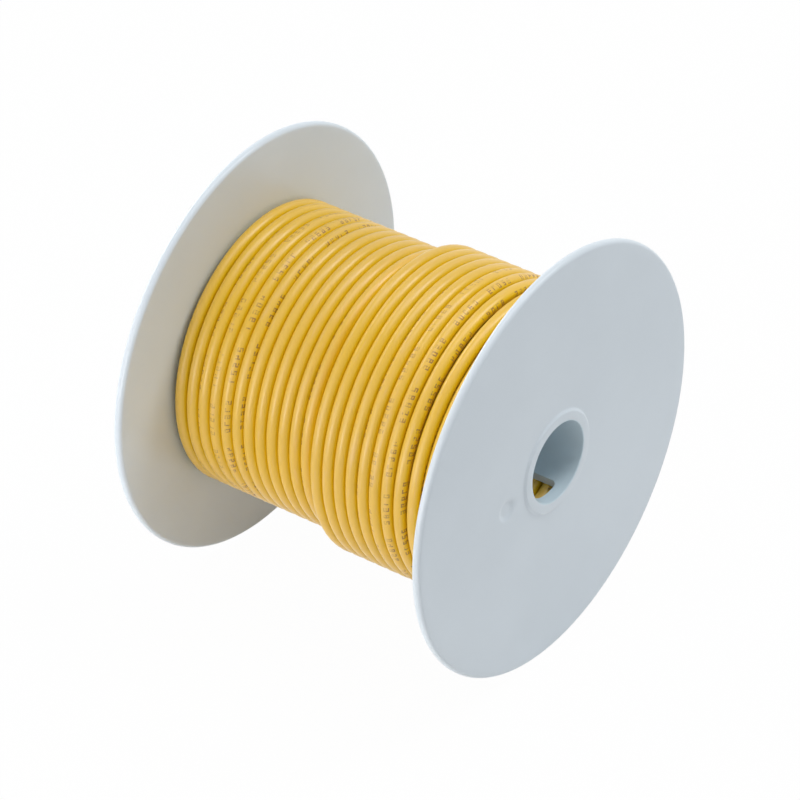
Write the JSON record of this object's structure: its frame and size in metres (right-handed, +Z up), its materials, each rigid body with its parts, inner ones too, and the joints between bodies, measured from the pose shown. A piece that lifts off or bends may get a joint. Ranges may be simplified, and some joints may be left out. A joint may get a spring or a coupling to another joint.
{
  "type": "wire spool",
  "caption": "Moulded white spool with two round flanges on a hollow barrel, level wound with yellow insulated wire.",
  "frame": {"origin": "on the spool's axis, midway between the flanges", "axes": "+Y along the axis from the near flange to the far one; +Z up; the spool stands on its two rims"},
  "size_m": [0.1014, 0.0836, 0.1014],
  "materials": {
    "spool_plastic": "white moulded plastic, fine satin",
    "wire_insulation": "yellow soft plastic insulation, low gloss",
    "wire_conductor": "tinned copper strands"
  },
  "bodies": {
    "root": {"near_flange": "spool_plastic", "far_flange": "spool_plastic", "barrel": "spool_plastic", "wire_inner_layers": "wire_insulation", "wire_lower_turns": "wire_insulation", "wire_top_turns": "wire_insulation", "conductor_end": "wire_conductor"}
  },
  "joints": []
}
